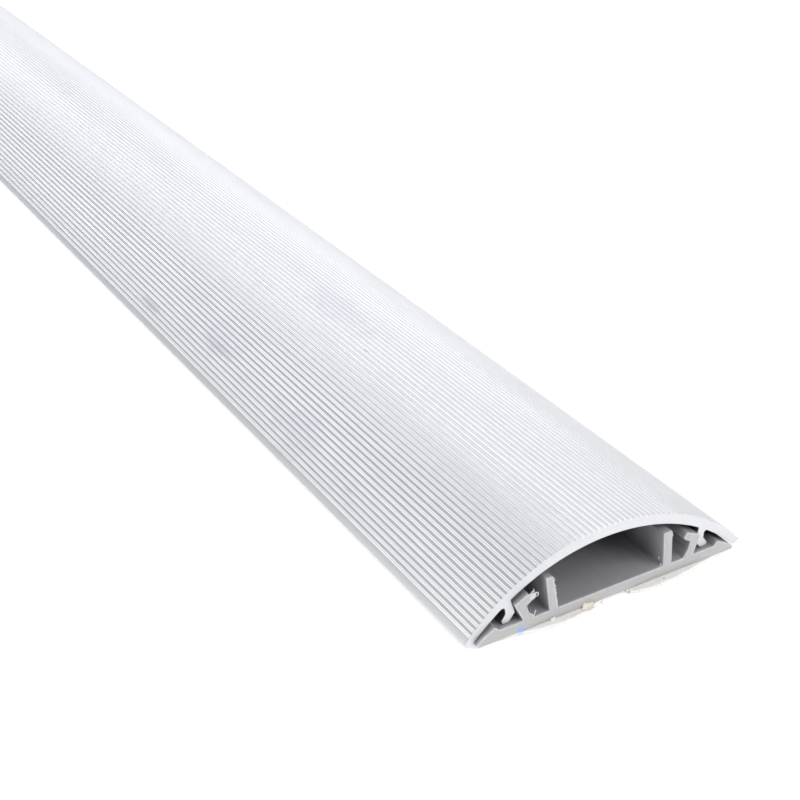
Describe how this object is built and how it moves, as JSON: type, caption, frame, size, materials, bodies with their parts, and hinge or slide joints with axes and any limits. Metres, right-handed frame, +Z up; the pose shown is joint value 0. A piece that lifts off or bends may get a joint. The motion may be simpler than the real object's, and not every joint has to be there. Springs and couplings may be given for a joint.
{
  "type": "cable trunking",
  "caption": "Low arched floor cable trunking: ridged aluminium cover clipped over a flat grey plastic base with dividing walls and adhesive tape strips beneath.",
  "frame": {"origin": "on the floor under the trunking's centre line, halfway along its length", "axes": "+Y along the trunking, from the sawn end shown in the picture at -Y to the far end; +Z up out of the cover's crown; +X across"},
  "size_m": [0.075, 2.0032, 0.0195],
  "materials": {
    "cover": "satin silver anodised, ridged lengthwise",
    "base": "matte mid-grey extruded plastic",
    "tape": "cream release liner over adhesive tape"
  },
  "bodies": {
    "root": {"cover": "cover", "base": "base", "tape_left": "tape", "tape_right": "tape"}
  },
  "joints": []
}
